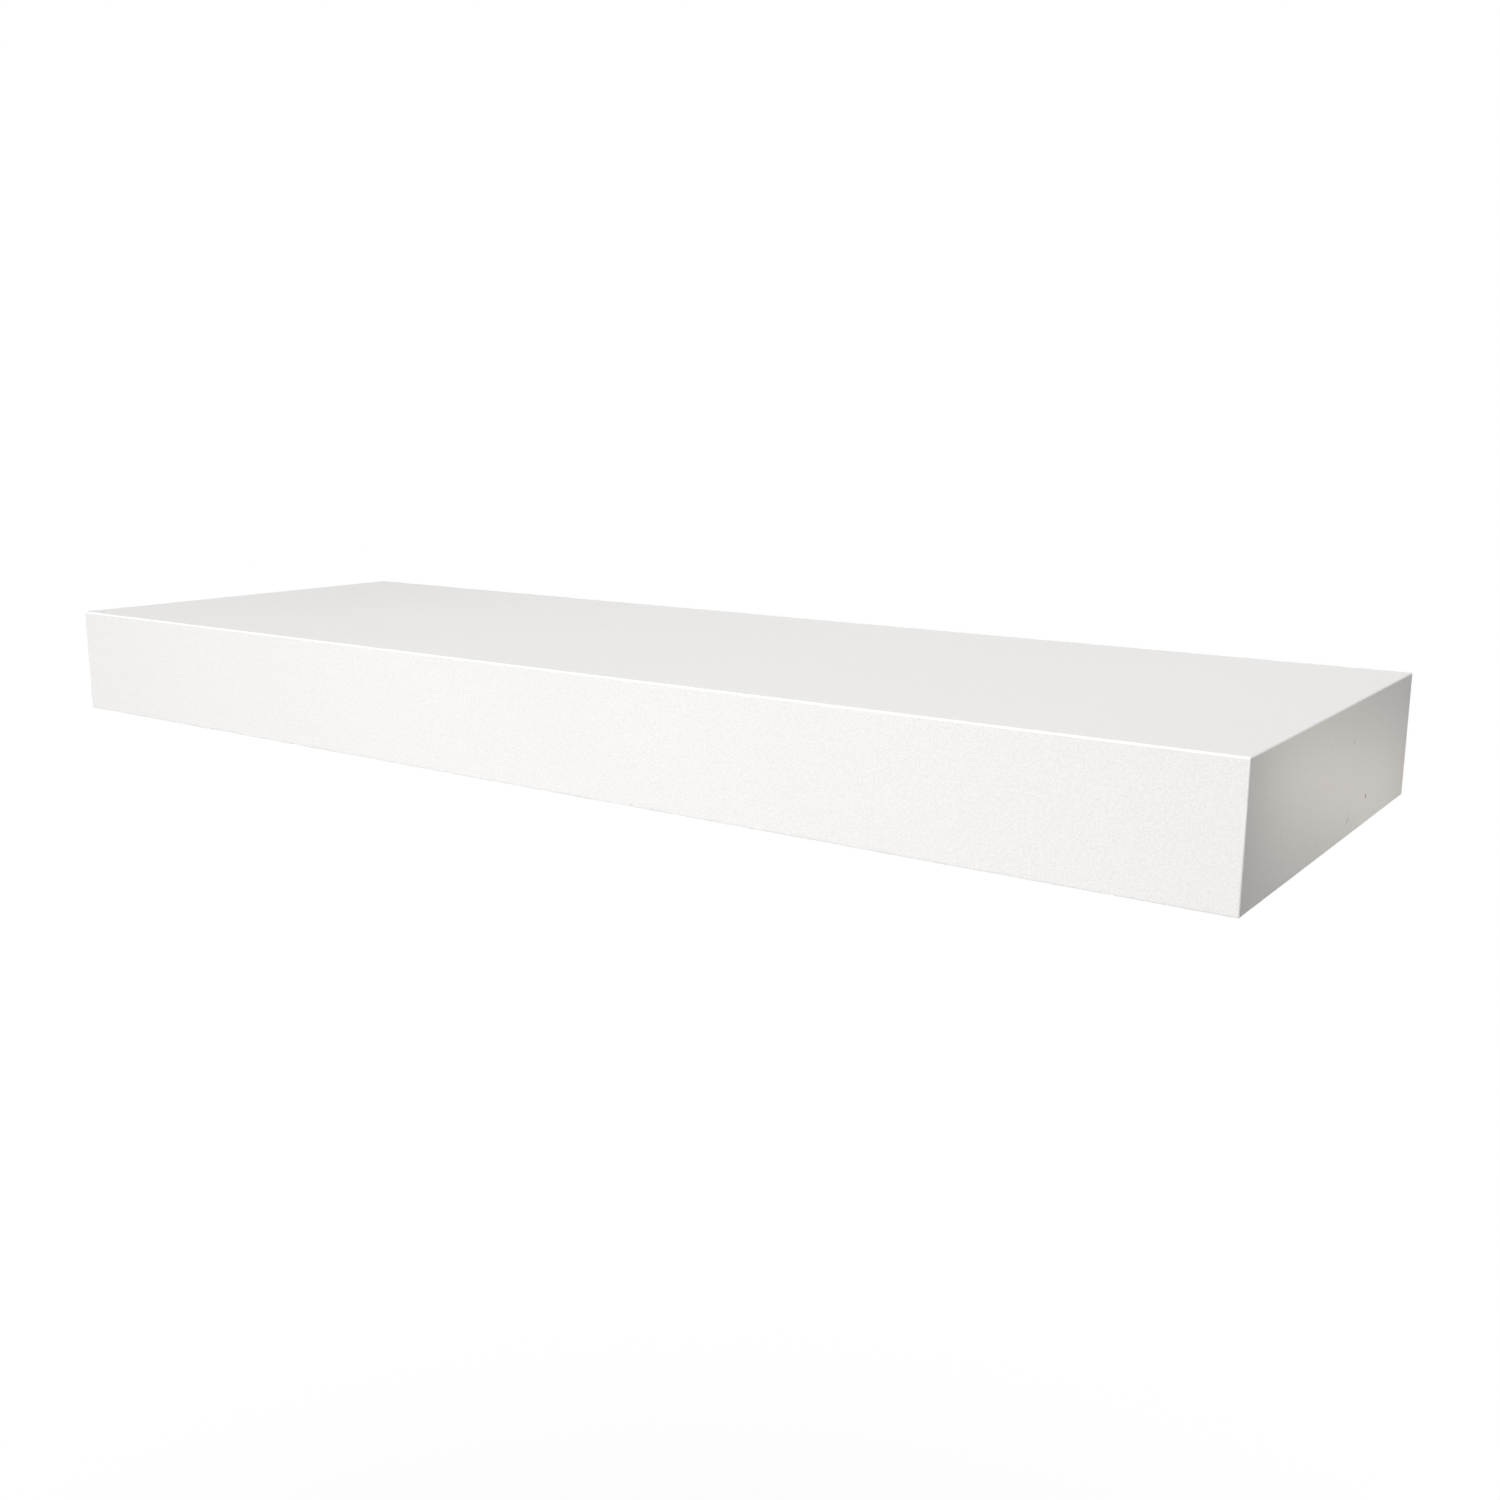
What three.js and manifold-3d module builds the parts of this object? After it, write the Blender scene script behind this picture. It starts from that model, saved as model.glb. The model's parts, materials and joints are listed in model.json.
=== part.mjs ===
// A floating wall shelf: a foil covered hollow box that slides onto two rods of a hidden wall bracket.
// Millimetres, +X right as seen from the room, +Z up. The wall is the plane y = 0, and the room is
// towards -Y. The origin is the middle of the wall bracket's back face, at half the shelf's height.

import * as THREE from "three";
import { RoundedBoxGeometry } from "three/addons/geometries/RoundedBoxGeometry.js";
import { mergeGeometries, mergeVertices } from "three/addons/utils/BufferGeometryUtils.js";
import Module from "manifold-3d";

const wasm = await Module();
wasm.setup();

// The outside of the shelf.
const LENGTH = 609.6;
const DEPTH = 203.2;
const HEIGHT = 50.8;

// The layers, from the outside in, the line of glue between any two boards, and the radius of the
// boards' eased outer edges, which the foil follows.
const FOIL = 0.4;
const SKIN = 4;
const GLUE_LINE = 0.2;
const BOARD_EDGE_RADIUS = 0.3;

// The frame. The rear rail stands back from the wall, which leaves the recess for the wall plate.
// The front bay is the space between the front batten and the middle rail.
const FRONT_BATTEN = 18;
const END_BATTEN = 18;
const REAR_RAIL = 18;
const MIDDLE_RAIL = 20;
const FRONT_BAY = 35.4;
const RECESS = 9;

// The bracket. The plate stands clear of the frame round it, and the slots and rods are set in from
// the plate's ends, which puts the outer slots 406.4 apart and the rods 304.8 apart.
const PLATE_THICKNESS = 4;
const PLATE_CORNER = 4;
const PLATE_END_ROOM = 28;
const PLATE_EDGE_ROOM = 4.6;
const SLOT_INSET = 50.8;
const WALL_SLOT_WIDTH = 5.5;
const WALL_SLOT_LENGTH = 12;
const ROD_INSET = 101.6;
const ROD_DIAMETER = 12;
const ROD_CHAMFER = 1.5;
const ROD_TIP_TO_RAIL = 2;
const ROD_FIT = 0.5;
const ROD_SCREW_DIAMETER = 6;
const ROD_SCREW_LENGTH = 16;
const ROD_SCREW_HEAD = 11;
const ROD_BORE_SPARE = 2;
const ROD_SCREW_SINK = 0.2;

// The lock screws, driven up through the underside until they nearly reach the rods.
const LOCK_SCREW_DIAMETER = 4;
const LOCK_SCREW_HEAD = 8;
const LOCK_SCREW_TIP = 1.5;
const LOCK_SCREW_TIP_GAP = 0.3;
const LOCK_SCREW_SINK = 0.3;

// Every screw head has a straight rim over its countersink, and a cross shaped drive.
const HEAD_RIM = 0.4;
const CROSS_ARM_SHARE = 0.56;
const CROSS_SLOT_SHARE = 0.14;
const CROSS_DEPTH_SHARE = 0.34;

// The frame's staples.
const STAPLE_CROWN = 12;
const STAPLE_LEG = 14;
const STAPLE_WIRE = 1.2;
const STAPLE_BAND = 1.6;

// The paper honeycomb.
const CELL = 26;
const PAPER = 0.9;
const CORE_FIT = 0.5;
const ROD_LANE = 22;

// The space between a fastener and its hole, and how far a cutting shape runs past what it cuts.
const SCREW_FIT = 0.3;
const OVERRUN = 5;

// How finely round shapes are made.
const ROUND_SIDES = 28;
const CELL_SIDES = 6;
const EDGE_STEPS = 3;
const CORNER_STEPS = 4;

// Where the layers lie, worked out from the outside in.
const skinOffset = FOIL + GLUE_LINE;
const edgeRadius = BOARD_EDGE_RADIUS + skinOffset;
const frameOffset = skinOffset + SKIN + GLUE_LINE;
const frameHeight = HEIGHT - 2 * frameOffset;
const frameHalfLength = LENGTH / 2 - frameOffset;
const frontBattenFront = -DEPTH + frameOffset;
const frontBattenBack = frontBattenFront + FRONT_BATTEN;
const bayHalfLength = frameHalfLength - END_BATTEN;
const railHalfLength = bayHalfLength - GLUE_LINE;
const endBattenFront = frontBattenBack + GLUE_LINE;
const rearRailBack = -RECESS;
const rearRailFront = rearRailBack - REAR_RAIL;
const middleRailFront = frontBattenBack + FRONT_BAY;
const middleRailBack = middleRailFront + MIDDLE_RAIL;
const plateHalfLength = bayHalfLength - PLATE_END_ROOM;
const plateHalfHeight = frameHeight / 2 - PLATE_EDGE_ROOM;
const outerSlotX = plateHalfLength - SLOT_INSET;
const rodX = plateHalfLength - ROD_INSET;
const innerSlotX = rodX / 2;
const rodBase = -PLATE_THICKNESS - GLUE_LINE;
const rodTip = middleRailFront + ROD_TIP_TO_RAIL;
const rodLength = rodBase - rodTip;
const rodRadius = ROD_DIAMETER / 2;
const rodBoreRadius = rodRadius + ROD_FIT;
const sides = [
  ["left", -1],
  ["right", 1],
];

const skinFinish = { color: 0x8a6a4a, roughness: 0.85, metalness: 0 };
const battenFinish = { color: 0xc7a97a, roughness: 0.9, metalness: 0 };
const paperFinish = { color: 0xb08d60, roughness: 0.95, metalness: 0 };
const zincFinish = { color: 0xb9bec2, roughness: 0.35, metalness: 1 };
const plateFinish = { color: 0x2b2c2e, roughness: 0.6, metalness: 0.3 };
const foilFinish = { color: 0xf1efec, roughness: 0.45, metalness: 0 };

// Turns closed triangles into a solid that can be cut and joined.
function solidOf(geometry) {
  const bare = geometry.index ? geometry.toNonIndexed() : geometry.clone();
  bare.deleteAttribute("normal");
  bare.deleteAttribute("uv");
  const merged = mergeVertices(bare);
  const vertProperties = new Float32Array(merged.attributes.position.array);
  const triVerts = new Uint32Array(merged.index.array);
  return new wasm.Manifold(new wasm.Mesh({ numProp: 3, vertProperties, triVerts }));
}

// Turns a solid back into triangles.
function geometryOf(solid) {
  const mesh = solid.getMesh();
  const places = new Float32Array(mesh.vertProperties);
  const geometry = new THREE.BufferGeometry();
  geometry.setAttribute("position", new THREE.BufferAttribute(places, mesh.numProp));
  geometry.setIndex(new THREE.BufferAttribute(new Uint32Array(mesh.triVerts), 1));
  geometry.computeVertexNormals();
  return geometry;
}

// Cuts any number of shapes out of one.
function cut(geometry, ...cutters) {
  return geometryOf(cutters.reduce((solid, cutter) => solid.subtract(solidOf(cutter)), solidOf(geometry)));
}

// Keeps only what two shapes share.
function common(first, second) {
  return geometryOf(solidOf(first).intersect(solidOf(second)));
}

// A box given by its lowest and highest corners.
function boxBetween([x0, y0, z0], [x1, y1, z1]) {
  const box = new THREE.BoxGeometry(x1 - x0, y1 - y0, z1 - z0);
  return box.translate((x0 + x1) / 2, (y0 + y1) / 2, (z0 + z1) / 2);
}

// A round shape turned about +Z from [radius, height] points that start and end on the axis.
function turned(points) {
  const profile = points.map(([radius, height]) => new THREE.Vector2(radius, height));
  return new THREE.LatheGeometry(profile, ROUND_SIDES).rotateX(Math.PI / 2);
}

// A plain round bar along +Z.
function bar(radius, low, high) {
  return turned([[0, low], [radius, low], [radius, high], [0, high]]);
}

// The shelf's outline with eased edges, drawn in by an offset and running out past the wall.
function easedBox(offset) {
  const run = DEPTH - offset + OVERRUN;
  const radius = edgeRadius - offset;
  const box = new RoundedBoxGeometry(LENGTH - 2 * offset, run, HEIGHT - 2 * offset, EDGE_STEPS, radius);
  return box.translate(0, run / 2 - DEPTH + offset, 0);
}

// Everything on the room side of the wall.
function roomSide() {
  return boxBetween([-LENGTH, -DEPTH - OVERRUN, -HEIGHT], [LENGTH, 0, HEIGHT]);
}

// A board lying in XY, its outer face up at z = 0, with the named sides cut in at 45 degrees below.
function mitredBoard(x0, y0, x1, y1, thickness, mitres) {
  const board = boxBetween([x0, y0, -thickness], [x1, y1, 0]);
  const place = board.attributes.position;
  for (let i = 0; i < place.count; i += 1) {
    if (place.getZ(i) < -thickness / 2) {
      const atLeft = place.getX(i) < (x0 + x1) / 2;
      const atFront = place.getY(i) < (y0 + y1) / 2;
      const inX = atLeft ? mitres.left : -mitres.right;
      const inY = atFront ? mitres.front : -mitres.back;
      place.setXYZ(i, place.getX(i) + inX * thickness, place.getY(i) + inY * thickness, -thickness);
    }
  }
  return board;
}

// A screw standing on its tip with its countersunk head's flat top at z = 0.
function screw(headDiameter, diameter, length, tip) {
  const head = headDiameter / 2;
  const shank = diameter / 2;
  const form = turned([
    [0, -length],
    [shank - tip, -length],
    [shank, -length + tip],
    [shank, -HEAD_RIM - head + shank],
    [head, -HEAD_RIM],
    [head, 0],
    [0, 0],
  ]);
  const arm = head * CROSS_ARM_SHARE;
  const slot = head * CROSS_SLOT_SHARE;
  const deep = headDiameter * CROSS_DEPTH_SHARE;
  const first = boxBetween([-arm, -slot, -deep], [arm, slot, OVERRUN]);
  const second = boxBetween([-slot, -arm, -deep], [slot, arm, OVERRUN]);
  return cut(form, first, second);
}

// The hole that a screw of this size goes into, open past its head.
function screwHole(headDiameter, diameter, length) {
  const head = headDiameter / 2 + SCREW_FIT;
  const shank = diameter / 2 + SCREW_FIT;
  return turned([
    [0, -length],
    [shank, -length],
    [shank, -HEAD_RIM - SCREW_FIT - head + shank],
    [head, -HEAD_RIM - SCREW_FIT],
    [head, OVERRUN],
    [0, OVERRUN],
  ]);
}

// A hole for a rod along Y, at one of the two rod places.
function rodBore(side) {
  const bore = bar(rodBoreRadius, rodTip - OVERRUN, 0);
  return bore.rotateX(-Math.PI / 2).translate(side * rodX, 0, 0);
}

// Lock screws stand upside down under the rear rail, below each rod.
const lockScrewHeadZ = -HEIGHT / 2 + LOCK_SCREW_SINK;
const lockScrewLength = -rodRadius - LOCK_SCREW_TIP_GAP - lockScrewHeadZ;
const lockScrewY = (rearRailBack + rearRailFront) / 2;

function placeLockScrew(geometry, side) {
  return geometry.rotateX(Math.PI).translate(side * rodX, lockScrewY, lockScrewHeadZ);
}

function lockScrewHole(side) {
  const depth = lockScrewLength + LOCK_SCREW_TIP_GAP;
  return placeLockScrew(screwHole(LOCK_SCREW_HEAD, LOCK_SCREW_DIAMETER, depth), side);
}

const lockScrewHoles = () => sides.map(([, side]) => lockScrewHole(side));
const rodBores = () => sides.map(([, side]) => rodBore(side));

// The foil: one continuous skin, open towards the wall.
function foilWrap() {
  const outer = common(easedBox(0), roomSide());
  return cut(outer, easedBox(FOIL), ...lockScrewHoles());
}

// The hardboard under the foil. Its outer edges are eased with the foil's.
function easedSkin(board) {
  return common(common(board, easedBox(skinOffset)), roomSide());
}

const mitreInset = skinOffset + GLUE_LINE / 2;
const skinHalfLength = LENGTH / 2 - mitreInset;
const skinFront = -DEPTH + mitreInset;
const skinHalfHeight = HEIGHT / 2 - mitreInset;

function topSkin() {
  const mitres = { left: 1, right: 1, front: 1, back: 0 };
  const board = mitredBoard(-skinHalfLength, skinFront, skinHalfLength, 0, SKIN, mitres);
  return board.translate(0, 0, HEIGHT / 2 - skinOffset);
}

function bottomSkin() {
  return cut(easedSkin(topSkin().rotateY(Math.PI)), ...lockScrewHoles());
}

function frontSkin() {
  const mitres = { left: 1, right: 1, front: 1, back: 1 };
  const board = mitredBoard(-skinHalfLength, -skinHalfHeight, skinHalfLength, skinHalfHeight, SKIN, mitres);
  return easedSkin(board.rotateX(Math.PI / 2).translate(0, -DEPTH + skinOffset, 0));
}

function endSkin(side) {
  const mitres = { left: 1, right: 1, front: 1, back: 0 };
  const board = mitredBoard(-skinHalfHeight, skinFront, skinHalfHeight, 0, SKIN, mitres);
  return easedSkin(board.rotateY((side * Math.PI) / 2).translate(side * (LENGTH / 2 - skinOffset), 0, 0));
}

// A staple, or with an offset the slot that it leaves, with its crown along X and its top at z = 0.
function stapleForm(offset) {
  const outer = STAPLE_CROWN / 2 + offset;
  const inner = STAPLE_CROWN / 2 - STAPLE_WIRE - offset;
  const top = offset > 0 ? OVERRUN : 0;
  const under = -STAPLE_WIRE - offset;
  const foot = -STAPLE_LEG - offset;
  const outline = new THREE.Shape();
  outline.moveTo(-outer, top);
  outline.lineTo(-outer, foot);
  outline.lineTo(-inner, foot);
  outline.lineTo(-inner, under);
  outline.lineTo(inner, under);
  outline.lineTo(inner, foot);
  outline.lineTo(outer, foot);
  outline.lineTo(outer, top);
  outline.closePath();
  const width = STAPLE_BAND + 2 * offset;
  const staple = new THREE.ExtrudeGeometry(outline, { depth: width, bevelEnabled: false });
  return staple.rotateX(Math.PI / 2).translate(0, width / 2, 0);
}

// Each staple bridges an end batten and the batten or rail that meets it.
const stapleTop = frameHeight / 2;
const stapleRows = {
  front: { turn: Math.PI / 2, x: frameHalfLength - END_BATTEN / 2, y: frontBattenBack + GLUE_LINE / 2 },
  middle: { turn: 0, x: bayHalfLength - GLUE_LINE / 2, y: (middleRailFront + middleRailBack) / 2 },
  rear: { turn: 0, x: bayHalfLength - GLUE_LINE / 2, y: (rearRailFront + rearRailBack) / 2 },
};

function staple(row, side, offset) {
  const { turn, x, y } = stapleRows[row];
  return stapleForm(offset).rotateZ(turn).translate(side * x, y, stapleTop);
}

const stapleSlots = (row) => sides.map(([, side]) => staple(row, side, SCREW_FIT));

// The chipboard frame.
function frameBar(x0, y0, x1, y1) {
  return boxBetween([x0, y0, -frameHeight / 2], [x1, y1, frameHeight / 2]);
}

function frontBatten() {
  const batten = frameBar(-frameHalfLength, frontBattenFront, frameHalfLength, frontBattenBack);
  return cut(batten, ...stapleSlots("front"));
}

function endBatten(side) {
  const batten = frameBar(-END_BATTEN / 2, endBattenFront, END_BATTEN / 2, 0);
  const placed = batten.translate(side * (frameHalfLength - END_BATTEN / 2), 0, 0);
  return cut(placed, ...Object.keys(stapleRows).map((row) => staple(row, side, SCREW_FIT)));
}

function rearRail() {
  const rail = frameBar(-railHalfLength, rearRailFront, railHalfLength, rearRailBack);
  return cut(rail, ...rodBores(), ...lockScrewHoles(), ...stapleSlots("rear"));
}

function middleRail() {
  const rail = frameBar(-railHalfLength, middleRailFront, railHalfLength, middleRailBack);
  return cut(rail, ...rodBores(), ...stapleSlots("middle"));
}

// One strip of honeycomb: a slab with rows of six sided cells cut through it.
function honeycomb(x0, y0, x1, y1) {
  const slab = frameBar(x0, y0, x1, y1);
  const cellRadius = (CELL - PAPER) / Math.sqrt(3);
  const rowStep = (CELL * Math.sqrt(3)) / 2;
  const columns = Math.ceil((x1 - x0) / CELL / 2) + 1;
  const rows = Math.ceil((y1 - y0) / rowStep / 2) + 1;
  const cells = [];
  for (let row = -rows; row <= rows; row += 1) {
    for (let column = -columns; column <= columns; column += 1) {
      const shift = row % 2 === 0 ? 0 : CELL / 2;
      const cell = new THREE.CylinderGeometry(cellRadius, cellRadius, frameHeight + 2 * OVERRUN, CELL_SIDES);
      cell.rotateX(Math.PI / 2);
      cells.push(cell.translate((x0 + x1) / 2 + column * CELL + shift, (y0 + y1) / 2 + row * rowStep, 0));
    }
  }
  return cut(slab, mergeGeometries(cells));
}

const coreEnd = bayHalfLength - CORE_FIT;
const rearCoreFront = middleRailBack + CORE_FIT;
const rearCoreBack = rearRailFront - CORE_FIT;
const laneInner = rodX - ROD_LANE / 2;
const laneOuter = rodX + ROD_LANE / 2;

// The steel plate on the wall, with its slots and the countersunk holes for the rod screws.
function wallPlate() {
  const halfLength = plateHalfLength - PLATE_CORNER;
  const halfHeight = plateHalfHeight - PLATE_CORNER;
  const outline = new THREE.Shape();
  outline.absarc(halfLength, halfHeight, PLATE_CORNER, 0, Math.PI / 2, false);
  outline.absarc(-halfLength, halfHeight, PLATE_CORNER, Math.PI / 2, Math.PI, false);
  outline.absarc(-halfLength, -halfHeight, PLATE_CORNER, Math.PI, (Math.PI * 3) / 2, false);
  outline.absarc(halfLength, -halfHeight, PLATE_CORNER, (Math.PI * 3) / 2, Math.PI * 2, false);
  const slotRadius = WALL_SLOT_WIDTH / 2;
  const slotHalf = (WALL_SLOT_LENGTH - WALL_SLOT_WIDTH) / 2;
  for (const slotX of [outerSlotX, innerSlotX]) {
    for (const [, side] of sides) {
      const middle = side * slotX;
      const slot = new THREE.Path();
      slot.absarc(middle + slotHalf, 0, slotRadius, -Math.PI / 2, Math.PI / 2, false);
      slot.absarc(middle - slotHalf, 0, slotRadius, Math.PI / 2, (Math.PI * 3) / 2, false);
      outline.holes.push(slot);
    }
  }
  const settings = { depth: PLATE_THICKNESS, bevelEnabled: false, curveSegments: CORNER_STEPS };
  const plate = new THREE.ExtrudeGeometry(outline, settings).rotateX(Math.PI / 2);
  return cut(plate, ...sides.map(([, side]) => rodScrewHole(side)));
}

// Rod screws go in from the wall side, their heads just under the plate's back face.
function placeRodScrew(geometry, side) {
  return geometry.rotateX(-Math.PI / 2).translate(side * rodX, -ROD_SCREW_SINK, 0);
}

function rodScrewHole(side) {
  const depth = ROD_SCREW_LENGTH + ROD_BORE_SPARE;
  return placeRodScrew(screwHole(ROD_SCREW_HEAD, ROD_SCREW_DIAMETER, depth), side);
}

// A support rod, butted to the plate, chamfered at its tip and bored for its screw.
function rod(side) {
  const round = turned([
    [0, 0],
    [rodRadius, 0],
    [rodRadius, rodLength - ROD_CHAMFER],
    [rodRadius - ROD_CHAMFER, rodLength],
    [0, rodLength],
  ]);
  return cut(round.rotateX(Math.PI / 2).translate(side * rodX, rodBase, 0), rodScrewHole(side));
}

const shelf = new THREE.Group();
const bracket = new THREE.Group();

function add(group, name, geometry, finish) {
  const mesh = new THREE.Mesh(geometry, new THREE.MeshStandardMaterial(finish));
  mesh.name = name;
  group.add(mesh);
}

add(shelf, "foil_wrap", foilWrap(), foilFinish);
add(shelf, "top_skin", easedSkin(topSkin()), skinFinish);
add(shelf, "bottom_skin", bottomSkin(), skinFinish);
add(shelf, "front_skin", frontSkin(), skinFinish);
add(shelf, "front_batten", frontBatten(), battenFinish);
add(shelf, "rear_rail", rearRail(), battenFinish);
add(shelf, "middle_rail", middleRail(), battenFinish);
add(shelf, "core_rear_left", honeycomb(-coreEnd, rearCoreFront, -laneOuter, rearCoreBack), paperFinish);
add(shelf, "core_rear_centre", honeycomb(-laneInner, rearCoreFront, laneInner, rearCoreBack), paperFinish);
add(shelf, "core_rear_right", honeycomb(laneOuter, rearCoreFront, coreEnd, rearCoreBack), paperFinish);
const frontCore = honeycomb(-coreEnd, frontBattenBack + CORE_FIT, coreEnd, middleRailFront - CORE_FIT);
add(shelf, "core_front", frontCore, paperFinish);
add(bracket, "wall_plate", wallPlate(), plateFinish);

for (const [name, side] of sides) {
  add(shelf, `${name}_end_skin`, endSkin(side), skinFinish);
  add(shelf, `${name}_batten`, endBatten(side), battenFinish);
  for (const row of Object.keys(stapleRows)) {
    add(shelf, `staple_${row}_${name}`, staple(row, side, 0), zincFinish);
  }
  const lockScrew = screw(LOCK_SCREW_HEAD, LOCK_SCREW_DIAMETER, lockScrewLength, LOCK_SCREW_TIP);
  add(shelf, `lock_screw_${name}`, placeLockScrew(lockScrew, side), zincFinish);
  add(bracket, `rod_${name}`, rod(side), zincFinish);
  const rodScrew = screw(ROD_SCREW_HEAD, ROD_SCREW_DIAMETER, ROD_SCREW_LENGTH, 0);
  add(bracket, `rod_screw_${name}`, placeRodScrew(rodScrew, side), zincFinish);
}

const floatingShelf = new THREE.Group();
floatingShelf.add(shelf, bracket);

export default floatingShelf;
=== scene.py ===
"""The looks of a white floating wall shelf and its hidden rod bracket.

It is laid out as an add-on and run as a script. Everything is in metres, in the frame of the
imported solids: +X along the shelf to the right, +Y into the wall, +Z up.
"""

import json
import math

import bmesh
import bpy
from bpy.props import FloatProperty, FloatVectorProperty, IntProperty, PointerProperty
from mathutils import Matrix, Vector


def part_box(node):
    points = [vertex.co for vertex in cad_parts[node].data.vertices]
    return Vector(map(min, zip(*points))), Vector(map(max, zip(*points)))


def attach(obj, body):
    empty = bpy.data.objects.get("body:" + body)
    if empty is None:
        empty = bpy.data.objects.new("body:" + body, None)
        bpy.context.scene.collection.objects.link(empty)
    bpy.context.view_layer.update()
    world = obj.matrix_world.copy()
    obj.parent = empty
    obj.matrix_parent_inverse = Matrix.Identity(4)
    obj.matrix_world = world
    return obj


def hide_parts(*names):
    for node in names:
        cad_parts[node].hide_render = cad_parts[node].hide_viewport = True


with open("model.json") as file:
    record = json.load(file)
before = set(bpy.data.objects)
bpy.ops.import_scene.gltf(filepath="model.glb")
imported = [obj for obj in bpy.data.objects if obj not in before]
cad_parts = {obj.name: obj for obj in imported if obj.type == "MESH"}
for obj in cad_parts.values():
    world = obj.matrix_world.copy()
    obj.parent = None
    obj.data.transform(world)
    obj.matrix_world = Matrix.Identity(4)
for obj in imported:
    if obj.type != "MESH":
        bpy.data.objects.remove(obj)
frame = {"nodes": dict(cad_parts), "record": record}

bl_info = {
    "name": "Floating wall shelf",
    "version": (1, 0, 0),
    "blender": (4, 5, 0),
    "location": "3D View > Sidebar > Wall shelf",
    "description": "Makes the foil, board and bracket finishes of a floating shelf",
    "category": "Object",
}

MM = 0.001
WHITE = (1.0, 1.0, 1.0)
ORIGIN = (0.0, 0.0, 0.0)
X_AXIS = Vector((1.0, 0.0, 0.0))
Y_AXIS = Vector((0.0, 1.0, 0.0))
Z_AXIS = Vector((0.0, 0.0, 1.0))
SIDES = (("left", -1.0), ("right", 1.0))

# How near counts as one height, as one height or point on a screw, as one point, and as on a cut.
LEVEL_REACH = MM / 100
FINE_REACH = MM / 1000
JOIN_REACH = MM / 10000
CUT_REACH = MM / 100000

# Edges that turn by more than this stay sharp in the shading.
SMOOTH_ANGLE = math.radians(35)


def middle_of(low, high):
    """The point half way between two corners."""
    return (low + high) / 2


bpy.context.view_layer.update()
shelf_low, shelf_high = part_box("foil_wrap")
plate_low, plate_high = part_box("wall_plate")
rod_low, rod_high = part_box("rod_right")
rod_screw_low, rod_screw_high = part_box("rod_screw_right")
lock_screw_low, lock_screw_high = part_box("lock_screw_right")
shelf_middle = middle_of(shelf_low, shelf_high)
rod_x = middle_of(rod_low, rod_high).x
lock_screw_y = middle_of(lock_screw_low, lock_screw_high).y


# Shader sums


class Signal:
    """A shader socket in plain arithmetic. Each sum on it adds the Math node that it needs."""

    def __init__(self, finish, socket):
        self.finish = finish
        self.socket = socket

    def sum(self, operation, *terms):
        return self.finish.node("ShaderNodeMath", {"operation": operation}, dict(enumerate(terms)))

    def __add__(self, other):
        return self.sum("ADD", self, other)

    def __radd__(self, other):
        return self.sum("ADD", other, self)

    def __sub__(self, other):
        return self.sum("SUBTRACT", self, other)

    def __rsub__(self, other):
        return self.sum("SUBTRACT", other, self)

    def __mul__(self, other):
        return self.sum("MULTIPLY", self, other)

    def __rmul__(self, other):
        return self.sum("MULTIPLY", other, self)

    def __truediv__(self, other):
        return self.sum("DIVIDE", self, other)

    def __rtruediv__(self, other):
        return self.sum("DIVIDE", other, self)

    def __pow__(self, other):
        return self.sum("POWER", self, other)

    def __abs__(self):
        return self.sum("ABSOLUTE", self)

    def least(self, other):
        return self.sum("MINIMUM", self, other)

    def most(self, other):
        return self.sum("MAXIMUM", self, other)

    def band(self, start, end):
        """0 at start, 1 at end and smooth between, whichever of the two is the larger."""
        settings = {"interpolation_type": "SMOOTHSTEP"}
        limits = {"Value": self, "From Min": start, "From Max": end, "To Min": 0.0, "To Max": 1.0}
        return self.finish.node("ShaderNodeMapRange", settings, limits)


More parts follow.
